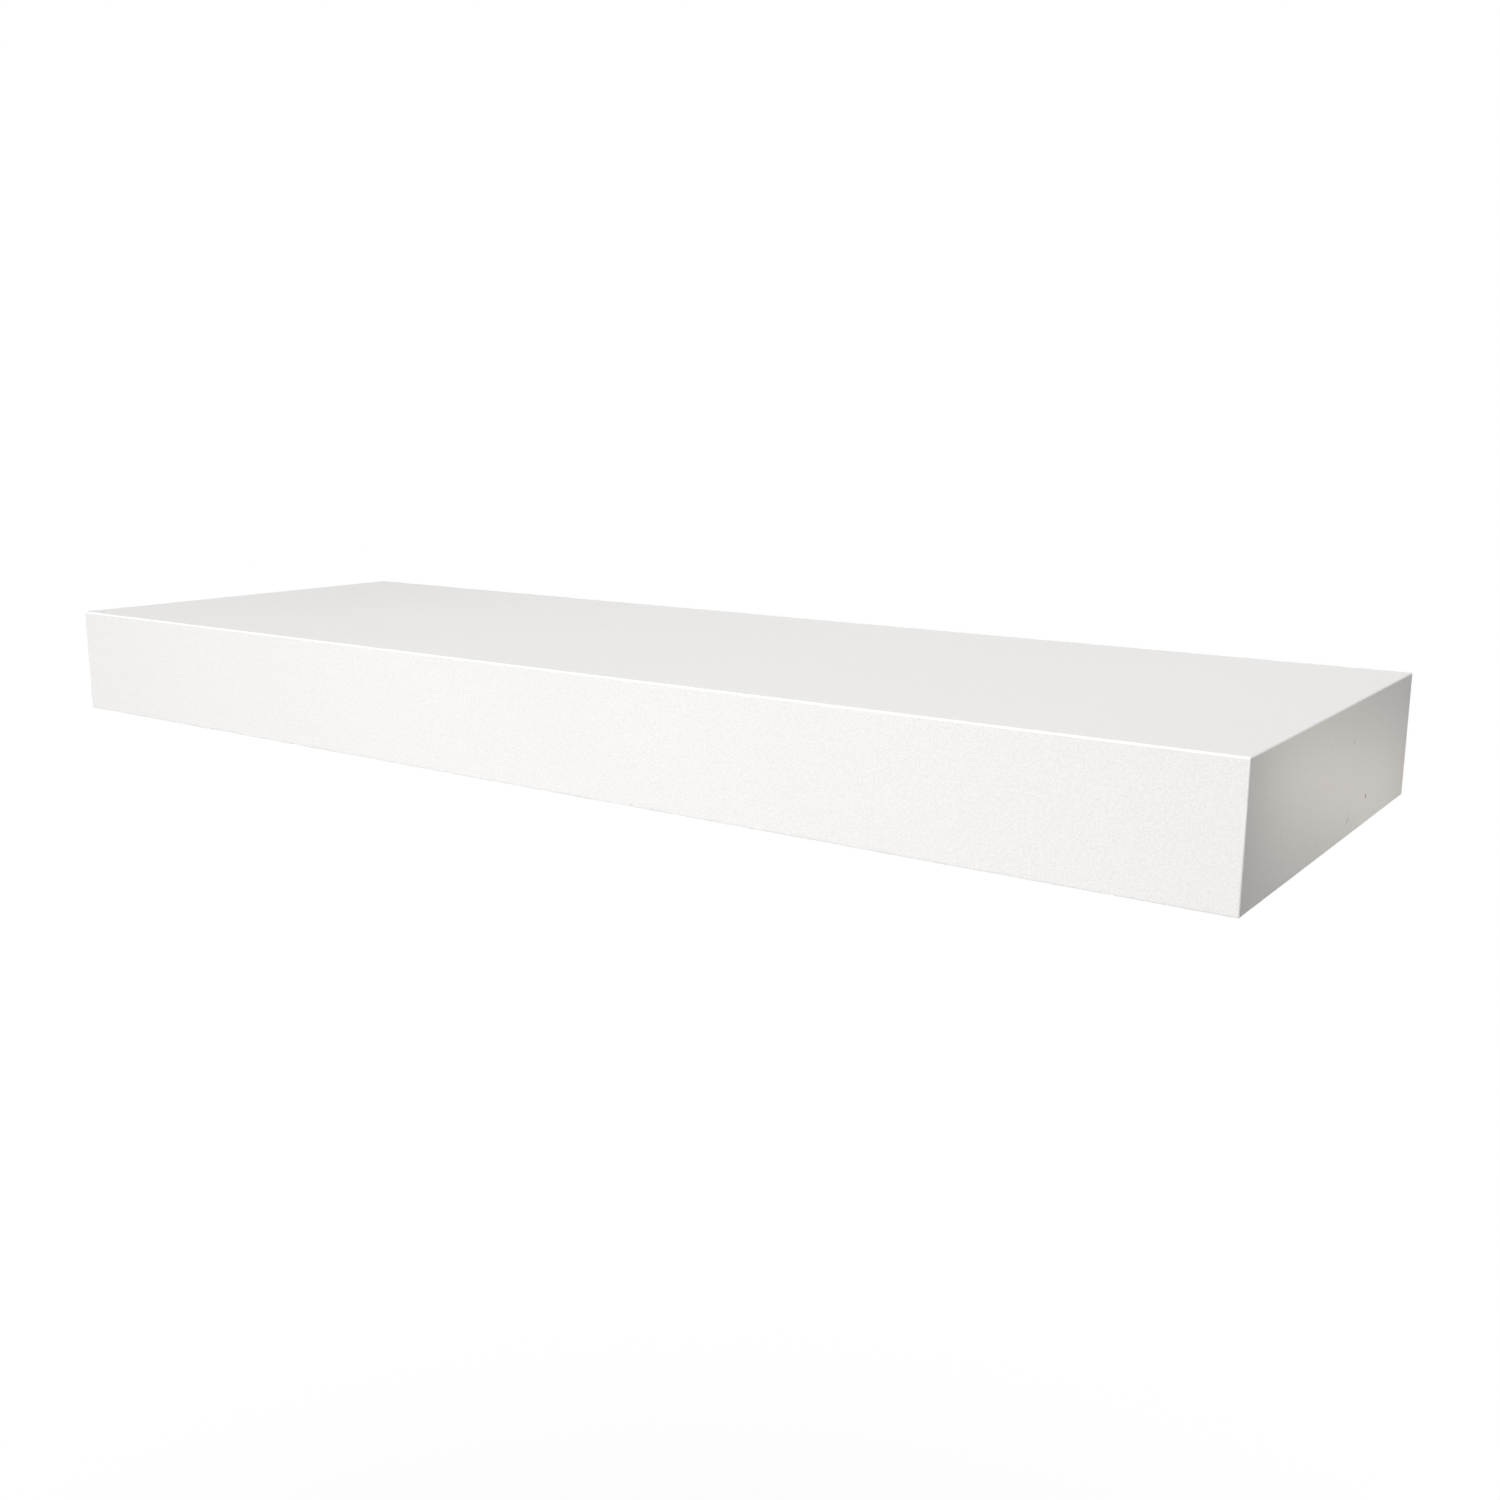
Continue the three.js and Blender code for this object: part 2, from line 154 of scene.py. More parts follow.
class Finish:
    """A material while its nodes are being put together."""

    def __init__(self, name, tree=None):
        if tree is None:
            self.material = bpy.data.materials.new(name)
            self.material.use_nodes = True
            tree = self.material.node_tree
        self.tree = tree
        self.tree.nodes.clear()
        self.place = None

    def node(self, kind, settings=None, sockets=None, output=0):
        """Adds one node, sets it up, fills its sockets and gives one of its outputs."""
        made = self.tree.nodes.new(kind)
        for name, value in (settings or {}).items():
            setattr(made, name, value)
        for name, value in (sockets or {}).items():
            socket = made.inputs[name]
            if isinstance(value, Signal):
                self.tree.links.new(value.socket, socket)
            elif socket.type == "RGBA":
                socket.default_value = (*value[:3], 1.0)
            else:
                socket.default_value = value
        return Signal(self, made.outputs[output])

    def at(self):
        """The point on the piece, in metres."""
        if self.place is None:
            self.place = self.node("ShaderNodeTexCoord", output="Object")
        return self.place

    def axes(self):
        """The point's X, Y and Z as three values."""
        split = self.node("ShaderNodeSeparateXYZ", sockets={0: self.at()})
        return [Signal(self, output) for output in split.socket.node.outputs]

    def stretched(self, scale, turn=ORIGIN):
        """The point after a scale of its own along each axis and then a turn."""
        moved = {"Vector": self.at(), "Rotation": turn, "Scale": scale}
        return self.node("ShaderNodeMapping", {"vector_type": "POINT"}, moved)

    def noise(self, scale, detail=2.0, roughness=0.5, distortion=0.0, place=None):
        """Cloudy noise from 0 to 1."""
        sockets = {
            "Vector": place or self.at(),
            "Scale": scale,
            "Detail": detail,
            "Roughness": roughness,
            "Distortion": distortion,
        }
        return self.node("ShaderNodeTexNoise", {"noise_dimensions": "3D"}, sockets)

    def streaks(self, scale, turn=ORIGIN, detail=2.0, roughness=0.5):
        """Noise that is drawn out by a scale of its own along each axis."""
        return self.noise(1.0, detail, roughness, place=self.stretched(scale, turn))

    def cells(self, scale, output="Distance", feature="F1", place=None):
        """How far the nearest of many scattered points lies, or another of its values."""
        sockets = {"Vector": place or self.at(), "Scale": scale}
        return self.node("ShaderNodeTexVoronoi", {"feature": feature}, sockets, output)

    def grey(self, colour):
        """One value out of a colour: its red share."""
        return self.node("ShaderNodeSeparateColor", sockets={0: colour}, output=0)

    def mix(self, share, first, second):
        """A colour between two colours."""
        settings = {"data_type": "RGBA", "blend_type": "MIX"}
        return self.node("ShaderNodeMix", settings, {0: share, 6: first, 7: second}, output=2)

    def vector(self, operation, first, second, output="Vector"):
        """A sum on two vectors."""
        settings = {"operation": operation}
        return self.node("ShaderNodeVectorMath", settings, {0: first, 1: second}, output)

    def distance_to(self, point):
        """How far the point is from another one."""
        return self.vector("DISTANCE", self.at(), tuple(point), "Value")

    def distance_to_line(self, start, end):
        """How far the point is from a straight stroke between two points."""
        along = end - start
        offset = self.vector("SUBTRACT", self.at(), tuple(start))
        reach = self.vector("DOT_PRODUCT", offset, tuple(along), "Value") / along.length_squared
        share = reach.most(0.0).least(1.0)
        scaled = {0: tuple(along), "Scale": share}
        foot = self.node("ShaderNodeVectorMath", {"operation": "SCALE"}, scaled)
        return self.vector("DISTANCE", offset, foot, "Value")

    def relief(self, height):
        """The shading of a surface whose height in metres is given."""
        sockets = {"Strength": 1.0, "Distance": 1.0, "Height": height}
        return self.node("ShaderNodeBump", sockets=sockets, output="Normal")

    def done(self, colour, roughness, normal, metallic=0.0, **fixed):
        """Joins everything to the shader. What is fixed is one number all over the surface."""
        sockets = {"Base Color": colour, "Roughness": roughness, "Metallic": metallic, "Normal": normal}
        sockets.update({name.replace("_", " "): value for name, value in fixed.items()})
        self.end_with(self.node("ShaderNodeBsdfPrincipled", sockets=sockets))
        return self.material

    def end_with(self, shader, kind="ShaderNodeOutputMaterial"):
        """Joins a shader to the tree's output."""
        output = self.tree.nodes.new(kind)
        self.tree.links.new(shader.socket, output.inputs["Surface"])


# Shapes


def spin_profile(mesh, profile, steps, turns=1, pitch=0.0):
    """Spins radius and height points round the Z axis: once and closed, or as a thread with a pitch."""
    points = [mesh.verts.new((radius, 0.0, height)) for radius, height in profile]
    lines = [mesh.edges.new(pair) for pair in zip(points, points[1:])]
    bmesh.ops.spin(
        mesh,
        geom=points + lines,
        cent=ORIGIN,
        axis=Z_AXIS,
        dvec=(0.0, 0.0, pitch / steps),
        angle=math.tau * turns,
        steps=steps * turns,
        use_merge=(pitch == 0.0),
        use_duplicate=False,
    )


def tidy(mesh):
    """Joins points that lie on each other and turns every face outwards."""
    bmesh.ops.remove_doubles(mesh, verts=mesh.verts, dist=JOIN_REACH)
    bmesh.ops.recalc_face_normals(mesh, faces=mesh.faces)


def stand(mesh, angle, place):
    """Turns a mesh round the X axis and moves it to its place."""
    bmesh.ops.rotate(mesh, cent=ORIGIN, matrix=Matrix.Rotation(angle, 3, "X"), verts=mesh.verts)
    bmesh.ops.translate(mesh, vec=place, verts=mesh.verts)


def open_edges(mesh, height):
    """The edges of one face only that lie at a height."""
    edges = [edge for edge in mesh.edges if edge.is_boundary]
    return [edge for edge in edges if all(abs(point.co.z - height) < LEVEL_REACH for point in edge.verts)]


def once(items):
    """Each item once, in the order in which it first comes."""
    return list(dict.fromkeys(items))


def slice_faces(mesh, faces, place, direction):
    """Draws a straight cut across some faces."""
    edges = once(edge for face in faces for edge in face.edges)
    points = once(point for face in faces for point in face.verts)
    geometry = faces + edges + points
    bmesh.ops.bisect_plane(mesh, geom=geometry, dist=CUT_REACH, plane_co=place, plane_no=direction)


def ease(mesh, edges, size, steps):
    """Rounds some edges."""
    bmesh.ops.bevel(
        mesh,
        geom=edges,
        offset=size,
        offset_type="OFFSET",
        segments=steps,
        profile=0.5,
        affect="EDGES",
        material=-1,
        clamp_overlap=True,
    )


def sharp_edges(mesh, angle):
    """The edges that turn by more than an angle."""
    return [edge for edge in mesh.edges if edge.is_manifold and edge.calc_face_angle() > angle]


def make_object(name, mesh, material):
    """Makes a mesh into an object of one material."""
    data = bpy.data.meshes.new(name)
    mesh.to_mesh(data)
    mesh.free()
    data.materials.append(material)
    made = bpy.data.objects.new(name, data)
    bpy.context.scene.collection.objects.link(made)
    return made


def place_piece(name, mesh, material, body, nodes):
    """Makes a mesh into a finished piece on its body, in place of the CAD nodes that it stands for."""
    piece = make_object(name, mesh, material)
    piece.data.shade_smooth()
    piece.data.set_sharp_from_angle(angle=SMOOTH_ANGLE)
    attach(piece, body)
    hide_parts(*nodes)
    return piece


def even_shading(piece):
    """Keeps the large flat faces flat beside their rounded edges."""
    shading = piece.modifiers.new("even shading", "WEIGHTED_NORMAL")
    shading.keep_sharp = True
    shading.weight = 100


def finish_slot(slot, material):
    """Gives a finish to the CAD nodes that the record puts in one slot and that keep their shape."""
    for row in frame["record"]["subparts"]:
        if row["material_slot"] == slot:
            for place in frame["nodes"][row["node"]].material_slots:
                place.material = material


# Foil


class FoilSettings(bpy.types.PropertyGroup):
    edge_radius: FloatProperty(
        name="Edge radius", description="How far the edges are eased", default=0.75 * MM, unit="LENGTH"
    )
    thickness: FloatProperty(
        name="Thickness", description="The foil's own thickness", default=0.4 * MM, unit="LENGTH"
    )
    edge_steps: IntProperty(name="Edge steps", description="Facets across one eased edge", default=8)
    screw_hole: FloatProperty(
        name="Screw hole", description="Width of the holes below the lock screws",
        default=8.6 * MM, unit="LENGTH",
    )
    hole_sides: IntProperty(name="Hole sides", description="Facets round one screw hole", default=32)
    colour: FloatVectorProperty(
        name="White", description="The foil's main colour", default=(0.879, 0.868, 0.856), subtype="COLOR"
    )
    shade: FloatVectorProperty(
        name="Shade", description="The foil where its print is a touch deeper",
        default=(0.797, 0.786, 0.773), subtype="COLOR",
    )
    # Painted highlight: this near white is painted on the upper eased edges, standing in for the light that
    # catches them.
    stretched: FloatVectorProperty(
        name="Stretched white", description="The foil where it is drawn round an edge",
        default=(0.955, 0.95, 0.94), subtype="COLOR",
    )
    grime: FloatVectorProperty(
        name="Grime", description="The grey of specks and rubbed marks",
        default=(0.30, 0.28, 0.26), subtype="COLOR",
    )
    peel: FloatProperty(
        name="Peel", description="Height of the foil's orange-peel texture",
        default=0.035 * MM, unit="LENGTH",
    )


# Each speck's place, size and depth.
SPECKS = (
    (Vector((shelf_high.x, -82.2 * MM, 10.0 * MM)), 0.6 * MM, 0.45),
    (Vector((shelf_high.x, -59.7 * MM, -14.3 * MM)), 0.85 * MM, 0.95),
    (Vector((-118.0 * MM, -61.0 * MM, shelf_high.z)), 0.35 * MM, 0.22),
    (Vector((shelf_low.x, -121.0 * MM, 4.0 * MM)), 0.5 * MM, 0.4),
    (Vector((63.6 * MM, shelf_low.y, -24.4 * MM)), 0.4 * MM, 0.4),
)
# The places that the scuff on the right end runs through.
SCUFF = (
    Vector((shelf_high.x, -82.2 * MM, -17.4 * MM)),
    Vector((shelf_high.x, -82.7 * MM, -18.8 * MM)),
    Vector((shelf_high.x, -84.4 * MM, -19.6 * MM)),
)
SCUFF_DEPTH = 0.45


def foil_finish(settings):
    """Satin white foil with a fine orange-peel texture, a few specks, one short scuff and a painted
    highlight along its upper eased edges.
    """
    foil = Finish("satin_white_foil")
    x, y, z = foil.axes()
    half = (shelf_high - shelf_low) / 2
    inward = [half[i] - abs(value - shelf_middle[i]) for i, value in enumerate((x, y, z))]
    # The middle one of the three distances is how far the nearest edge is.
    low = inward[0].least(inward[1])
    high = inward[0].most(inward[1])
    edge = low.most(high.least(inward[2]))

    peel = foil.noise(1300.0, detail=2.0, roughness=0.6, distortion=0.2)
    grain = foil.noise(2600.0, detail=1.0)
    cloud = foil.noise(9.0, detail=3.0, roughness=0.55)
    rubbing = foil.noise(55.0, detail=4.0, roughness=0.65)
    rubbed = edge.band(2.0 * MM, 0.4 * MM) * rubbing.band(0.5, 0.68)

    marks = 0.0
    for point, size, depth in SPECKS:
        marks = marks + foil.distance_to(point).band(size * 1.5, size * 0.5) * depth
    for start, end in zip(SCUFF, SCUFF[1:]):
        stroke = foil.distance_to_line(start, end)
        marks = marks + stroke.band(0.6 * MM, 0.15 * MM) * SCUFF_DEPTH
    dust = foil.cells(36.0)
    marks = marks + dust.band(0.0105, 0.004) * rubbing.band(0.52, 0.7) * 0.16

    white = foil.mix(cloud.band(0.3, 0.7) * 0.2, settings.colour, settings.shade)
    mottled = foil.mix(peel.band(0.34, 0.66) * 0.9, white, settings.shade)
    # Painted highlight: the eased edges along the top are painted near white, standing in for the light that
    # catches them.
    drawn = edge.band(0.85 * MM, 0.35 * MM) * z.band(-18.0 * MM, 6.0 * MM)
    # The foil with the painted highlight on its upper eased edges.
    bright = foil.mix(drawn, mottled, settings.stretched)
    worn = foil.mix(rubbed * 0.07, bright, settings.grime)
    colour = foil.mix(marks.least(0.95), worn, settings.grime)

    roughness = 0.36 + 0.07 * peel + 0.05 * cloud - 0.08 * rubbed + 0.2 * marks
    height = peel * settings.peel + grain * (settings.peel * 0.16) - rubbed * (0.02 * MM)
    return foil.done(colour, roughness, foil.relief(height), IOR=1.5)


# A face looks at the wall where its normal's Y is above the first, and straight down where its normal's
# Z is below the second.
WALLWARD = 0.5
DOWNWARD = -0.999


def back_faces(mesh):
    """The faces that lie at the wall."""
    facing = [face for face in mesh.faces if face.normal.y > WALLWARD]
    return [face for face in facing if face.calc_center_median().y > -MM]


def cut_round_hole(mesh, centre, width, sides):
    """Cuts a round hole through the flat face that holds a point under the shelf."""

    def flat_faces():
        faces = [face for face in mesh.faces if face.normal.z < DOWNWARD]
        return [face for face in faces if abs(face.calc_center_median().z - centre.z) < LEVEL_REACH]

    # The hole starts as a square two widths across, cut out of the flat face.
    for side in (-width, width):
        slice_faces(mesh, flat_faces(), centre + X_AXIS * side, X_AXIS)
    for side in (-width, width):
        near = [face for face in flat_faces() if abs(face.calc_center_median().x - centre.x) < width]
        slice_faces(mesh, near, centre + Y_AXIS * side, Y_AXIS)
    square = min(flat_faces(), key=lambda face: (face.calc_center_median() - centre).length)
    border = list(square.edges)
    bmesh.ops.delete(mesh, geom=[square], context="FACES_ONLY")
    split = bmesh.ops.bisect_edges(mesh, edges=border, cuts=sides // 4 - 1)
    ring = [item for item in split["geom_split"] if isinstance(item, bmesh.types.BMEdge)]
    # An eighth of a turn brings the circle's points in line with the square's corners.
    turn = Matrix.Translation(centre) @ Matrix.Rotation(math.tau / 8, 4, "Z")
    circle = bmesh.ops.create_circle(mesh, cap_ends=False, segments=sides, radius=width / 2, matrix=turn)
    rim = once(edge for point in circle["verts"] for edge in point.link_edges)
    bmesh.ops.bridge_loops(mesh, edges=ring + rim)


class SHELF_OT_make_foil(bpy.types.Operator):
    """Makes the foil skin over the top, the underside, the front and both ends"""

    bl_idname = "wall_shelf.make_foil"
    bl_label = "Foil skin"

    def execute(self, context):
        settings = context.scene.shelf_foil
        mesh = bmesh.new()
        bmesh.ops.create_cube(mesh, size=1.0)
        bmesh.ops.scale(mesh, vec=shelf_high - shelf_low, verts=mesh.verts)
        bmesh.ops.translate(mesh, vec=shelf_middle, verts=mesh.verts)
        on_wall = {edge for face in back_faces(mesh) for edge in face.edges}
        eased = [edge for edge in mesh.edges if edge not in on_wall]
        ease(mesh, eased, settings.edge_radius, settings.edge_steps)
        bmesh.ops.delete(mesh, geom=back_faces(mesh), context="FACES_ONLY")
        for _, side in SIDES:
            centre = Vector((side * rod_x, lock_screw_y, shelf_low.z))
            cut_round_hole(mesh, centre, settings.screw_hole, settings.hole_sides)
        bmesh.ops.recalc_face_normals(mesh, faces=mesh.faces)
        bmesh.ops.solidify(mesh, geom=list(mesh.faces), thickness=settings.thickness)
        tidy(mesh)
        piece = place_piece("white_foil", mesh, foil_finish(settings), "shelf", ["foil_wrap"])
        even_shading(piece)
        return {"FINISHED"}


# Boards, paper and staples


class BoardSettings(bpy.types.PropertyGroup):
    hardboard: FloatVectorProperty(
        name="Hardboard", description="The brown of the thin panels",
        default=(0.30, 0.165, 0.08), subtype="COLOR",
    )
    hardboard_cut: FloatVectorProperty(
        name="Hardboard cut", description="The panels' raw cut edge",
        default=(0.40, 0.245, 0.13), subtype="COLOR",
    )
    hardboard_fibre: FloatVectorProperty(
        name="Hardboard fibre", description="The darkest fibres of the panels",
        default=(0.12, 0.06, 0.028), subtype="COLOR",
    )
    flake: FloatVectorProperty(
        name="Flake", description="The usual chipboard flake", default=(0.55, 0.385, 0.215), subtype="COLOR"
    )
    flake_pale: FloatVectorProperty(
        name="Pale flake", description="The palest chipboard flake",
        default=(0.74, 0.585, 0.385), subtype="COLOR",
    )
    # This dark is the bark and the gaps between flakes, and also the painted shade in the pores.
    dark_flake_and_pore_shade: FloatVectorProperty(
        name="Dark flake", description="Bark and gaps in the chipboard",
        default=(0.20, 0.115, 0.06), subtype="COLOR",
    )
    paper: FloatVectorProperty(
        name="Paper", description="The brown paper of the honeycomb",
        default=(0.45, 0.30, 0.165), subtype="COLOR",
    )
    paper_fibre: FloatVectorProperty(
        name="Paper fibre", description="Pale fibres in the paper",
        default=(0.58, 0.43, 0.27), subtype="COLOR",
    )
    paper_stain: FloatVectorProperty(
        name="Paper stain", description="Stains and dark lines in the paper",
        default=(0.24, 0.15, 0.08), subtype="COLOR",
    )


def hardboard_finish(settings):
    """Brown hardboard with felted fibres, paler and rougher at its raw cut edge on the wall side."""
    board = Finish("brown_hardboard")
    _, y, _ = board.axes()
    felt = board.noise(420.0, detail=7.0, roughness=0.7, distortion=1.6)
    hairs = board.streaks((1500.0, 170.0, 900.0), (0.3, 0.5, 0.7), detail=3.0, roughness=0.6)
    hairs_across = board.streaks((190.0, 1400.0, 900.0), (0.5, 0.2, 0.4), detail=3.0, roughness=0.6)
    blotch = board.noise(30.0, detail=3.0)
    cut = y.band(-0.25 * MM, -0.05 * MM)
    base = board.mix(cut * 0.85, settings.hardboard, settings.hardboard_cut)
    shaded = board.mix(felt.band(0.62, 0.36) * 0.55, base, settings.hardboard_fibre)
    lit = board.mix(hairs.most(hairs_across).band(0.6, 0.75) * 0.5, shaded, settings.hardboard_cut)
    colour = board.mix(blotch.band(0.35, 0.75) * 0.18, lit, settings.hardboard_fibre)
    roughness = 0.62 + 0.2 * felt + 0.12 * cut
    height = felt * (0.06 * MM) + hairs * (0.03 * MM) + hairs_across * (0.03 * MM)
    return board.done(colour, roughness, board.relief(height))


def chipboard_finish(settings):
    """Raw chipboard: fine flakes pressed flat in all directions, with a little bark and small pores, the
    pores darkened with painted shade.
    """
    board = Finish("raw_chipboard")
    long_way = board.stretched((420.0, 1500.0, 1350.0), (0.0, 0.35, 0.2))
    cross_way = board.stretched((1400.0, 520.0, 1200.0), (0.3, 0.0, 0.9))
    tone = board.grey(board.cells(1.0, "Color", place=long_way))
    tone_across = board.grey(board.cells(1.0, "Color", place=cross_way))
    seam = board.cells(1.0, "Distance", "DISTANCE_TO_EDGE", place=long_way)
    seam_across = board.cells(1.0, "Distance", "DISTANCE_TO_EDGE", place=cross_way)
    choice = board.noise(300.0, detail=2.0).band(0.46, 0.54)
    flake = tone * choice + tone_across * (1.0 - choice)
    gap = (seam * choice + seam_across * (1.0 - choice)).band(0.07, 0.0)
    grain = board.streaks((700.0, 3600.0, 3200.0), (0.0, 0.2, 0.1), detail=4.0, roughness=0.65)
    shade = board.noise(14.0, detail=3.0)
    pale = board.mix(flake.band(0.3, 0.95), settings.flake, settings.flake_pale)
    bark = board.mix(flake.band(0.07, 0.02) * 0.6, pale, settings.dark_flake_and_pore_shade)
    grained = board.mix(grain.band(0.5, 0.3) * 0.2, bark, settings.dark_flake_and_pore_shade)
    colour = board.mix(gap * 0.2 + shade.band(0.4, 0.75) * 0.1, grained, settings.dark_flake_and_pore_shade)
    # Painted shade: the pores are darkened, standing in for the shade inside them. The bump also sinks them.
    pores = board.cells(420.0).band(0.16, 0.06) * board.noise(120.0).band(0.54, 0.62)
    colour_with_painted_pore_shade = board.mix(pores * 0.55, colour, settings.dark_flake_and_pore_shade)
    roughness = 0.78 + 0.15 * grain
    height = flake * (0.08 * MM) - gap * (0.06 * MM) + grain * (0.04 * MM) - pores * (0.25 * MM)
    return board.done(colour_with_painted_pore_shade, roughness, board.relief(height))


# The heights between which the paper's cut edges fray, above and below the shelf's middle.
FRAYED = (19.6 * MM, 20.6 * MM)


def paper_finish(settings):
    """Brown kraft paper with pale fibres and faint laid lines."""
    paper = Finish("brown_kraft_paper")
    _, _, z = paper.axes()
    fibres = paper.noise(900.0, detail=6.0, roughness=0.75, distortion=2.2)
    laid = paper.streaks((120.0, 120.0, 1700.0))
    stain = paper.noise(38.0, detail=3.0)
    frayed = abs(z).band(*FRAYED) * fibres.band(0.4, 0.6)
    pale = paper.mix(fibres.band(0.5, 0.72) * 0.7 + frayed * 0.3, settings.paper, settings.paper_fibre)
    dark = stain.band(0.5, 0.8) * 0.25 + laid.band(0.5, 0.7) * 0.15
    colour = paper.mix(dark, pale, settings.paper_stain)
    roughness = 0.82 + 0.12 * fibres
    height = fibres * (0.05 * MM) + laid * (0.02 * MM)
    return paper.done(colour, roughness, paper.relief(height))


class SHELF_OT_finish_boards(bpy.types.Operator):
    """Gives the hardboard panels and the chipboard frame their raw finishes"""

    bl_idname = "wall_shelf.finish_boards"
    bl_label = "Panels and frame"

    def execute(self, context):
        settings = context.scene.shelf_board
        finish_slot("hardboard", hardboard_finish(settings))
        finish_slot("chipboard", chipboard_finish(settings))
        return {"FINISHED"}


class SHELF_OT_finish_core(bpy.types.Operator):
    """Gives the honeycomb core its kraft paper"""

    bl_idname = "wall_shelf.finish_core"
    bl_label = "Honeycomb core"

    def execute(self, context):
        finish_slot("honeycomb", paper_finish(context.scene.shelf_board))
        return {"FINISHED"}


class SHELF_OT_finish_staples(bpy.types.Operator):
    """Gives the frame's staples their zinc"""

    bl_idname = "wall_shelf.finish_staples"
    bl_label = "Staples"

    def execute(self, context):
        wire = zinc_finish("zinc_wire", context.scene.shelf_bracket, dullness=0.42)
        finish_slot("staple_wire", wire)
        return {"FINISHED"}


# Bracket and screws


class BracketSettings(bpy.types.PropertyGroup):
    coat: FloatVectorProperty(
        name="Powder coat", description="The plate's black coat",
        default=(0.035, 0.036, 0.039), subtype="COLOR",
    )
    coat_dust: FloatVectorProperty(
        name="Coat dust", description="Dust and rubbed spots on the coat",
        default=(0.12, 0.118, 0.115), subtype="COLOR",
    )
    steel: FloatVectorProperty(
        name="Bare steel", description="Steel where the coat has worn off",
        default=(0.46, 0.45, 0.44), subtype="COLOR",
    )
    zinc: FloatVectorProperty(
        name="Zinc", description="Bright zinc on rods, screws and wire",
        default=(0.62, 0.635, 0.65), subtype="COLOR",
    )
    zinc_blue: FloatVectorProperty(
        name="Blue zinc", description="The blue cast of the bath on bright zinc",
        default=(0.50, 0.57, 0.66), subtype="COLOR",
    )
    zinc_straw: FloatVectorProperty(
        name="Straw zinc", description="Where the bath left a faint straw cast",
        default=(0.66, 0.60, 0.48), subtype="COLOR",
    )
    zinc_dull: FloatVectorProperty(
        name="Dull zinc", description="Zinc that has gone dull", default=(0.43, 0.44, 0.46), subtype="COLOR"
    )
    zinc_rubbed: FloatVectorProperty(
        name="Rubbed zinc", description="Where the shelf has rubbed the rods",
        default=(0.30, 0.29, 0.28), subtype="COLOR",
    )
    plate_edge: FloatProperty(
        name="Plate edge", description="How far the plate's edges are broken",
        default=0.35 * MM, unit="LENGTH",
    )
    rod_sides: IntProperty(name="Rod sides", description="Facets round one rod", default=72)
    rod_chamfer: FloatProperty(
        name="Rod chamfer", description="Chamfer at each rod's tip", default=1.5 * MM, unit="LENGTH"
    )
    rod_bore: FloatProperty(
        name="Rod bore", description="Width of the screw's hole in each rod",
        default=6.6 * MM, unit="LENGTH",
    )
    rod_bore_depth: FloatProperty(
        name="Bore depth", description="How far the hole goes in, from the plate's back",
        default=18.2 * MM, unit="LENGTH",
    )
    screw_sides: IntProperty(name="Screw sides", description="Facets round one screw", default=32)
    rod_screw_width: FloatProperty(
        name="Rod screw", description="Width of the screws that hold the rods",
        default=6.0 * MM, unit="LENGTH",
    )
    rod_screw_pitch: FloatProperty(
        name="Rod screw pitch", description="Step of those screws' thread", default=1.0 * MM, unit="LENGTH"
    )
    lock_screw_width: FloatProperty(
        name="Lock screw", description="Width of the screws that lock the shelf",
        default=4.0 * MM, unit="LENGTH",
    )
    lock_screw_pitch: FloatProperty(
        name="Lock screw pitch", description="Step of the lock screws' thread",
        default=1.4 * MM, unit="LENGTH",
    )
    head_rim: FloatProperty(
        name="Head rim", description="Height of a screw head's straight rim",
        default=0.4 * MM, unit="LENGTH",
    )


def zinc_cast(zinc, settings, cast, blueness, strawness):
    """The colour of new zinc, with the blue and straw casts that the bath leaves in it."""
    blue = zinc.mix(cast.band(0.5, 0.66) * blueness, settings.zinc, settings.zinc_blue)
    return zinc.mix(cast.band(0.5, 0.36) * strawness, blue, settings.zinc_straw)


def zinc_finish(name, settings, dullness):
    """Bright zinc plate: a fine crystal sparkle, dull patches and light scratches."""
    zinc = Finish(name)
    crystal = zinc.grey(zinc.cells(1400.0, "Color"))
    patch = zinc.noise(240.0, detail=4.0, roughness=0.6)
    cast = zinc.noise(130.0, detail=3.0, roughness=0.55)
    scratch = zinc.streaks((3800.0, 240.0, 3000.0), (0.4, 0.7, 0.2))
    dull = patch.band(0.4, 0.72) * dullness
    new = zinc_cast(zinc, settings, cast, blueness=0.8, strawness=0.5)
    base = zinc.mix(dull, new, settings.zinc_dull)
    colour = zinc.mix(crystal.band(0.45, 1.0) * 0.45, base, settings.zinc_dull)
    roughness = 0.24 + 0.12 * crystal + 0.22 * dull + 0.1 * scratch
    height = crystal * (0.002 * MM) + scratch * (0.004 * MM)
    return zinc.done(colour, roughness, zinc.relief(height), metallic=1.0)


def rod_finish(settings):
    """Drawn and zinc plated steel: lines along the rod, with rub marks where the shelf bears on it."""
    rod = Finish("drawn_zinc_rod")
    _, y, z = rod.axes()
    lines = rod.streaks((2600.0, 9.0, 2600.0), detail=3.0, roughness=0.6)
    fine = rod.streaks((7000.0, 40.0, 7000.0))
    patch = rod.noise(70.0, detail=4.0, roughness=0.6)
    cast = rod.noise(38.0, detail=3.0, roughness=0.55)
    rub = z.band(2.5 * MM, 5.5 * MM) * lines.band(0.45, 0.62) * y.band(-1.0 * MM, -20.0 * MM)
    new = zinc_cast(rod, settings, cast, blueness=0.7, strawness=0.45)
    base = rod.mix(patch.band(0.4, 0.7) * 0.55, new, settings.zinc_dull)
    lined = rod.mix(lines.band(0.55, 0.35) * 0.3, base, settings.zinc_dull)
    colour = rod.mix(rub * 0.5, lined, settings.zinc_rubbed)
    roughness = 0.26 + 0.14 * lines + 0.12 * patch + 0.12 * rub
    height = lines * (0.006 * MM) + fine * (0.002 * MM)
    return rod.done(colour, roughness, rod.relief(height), metallic=1.0)


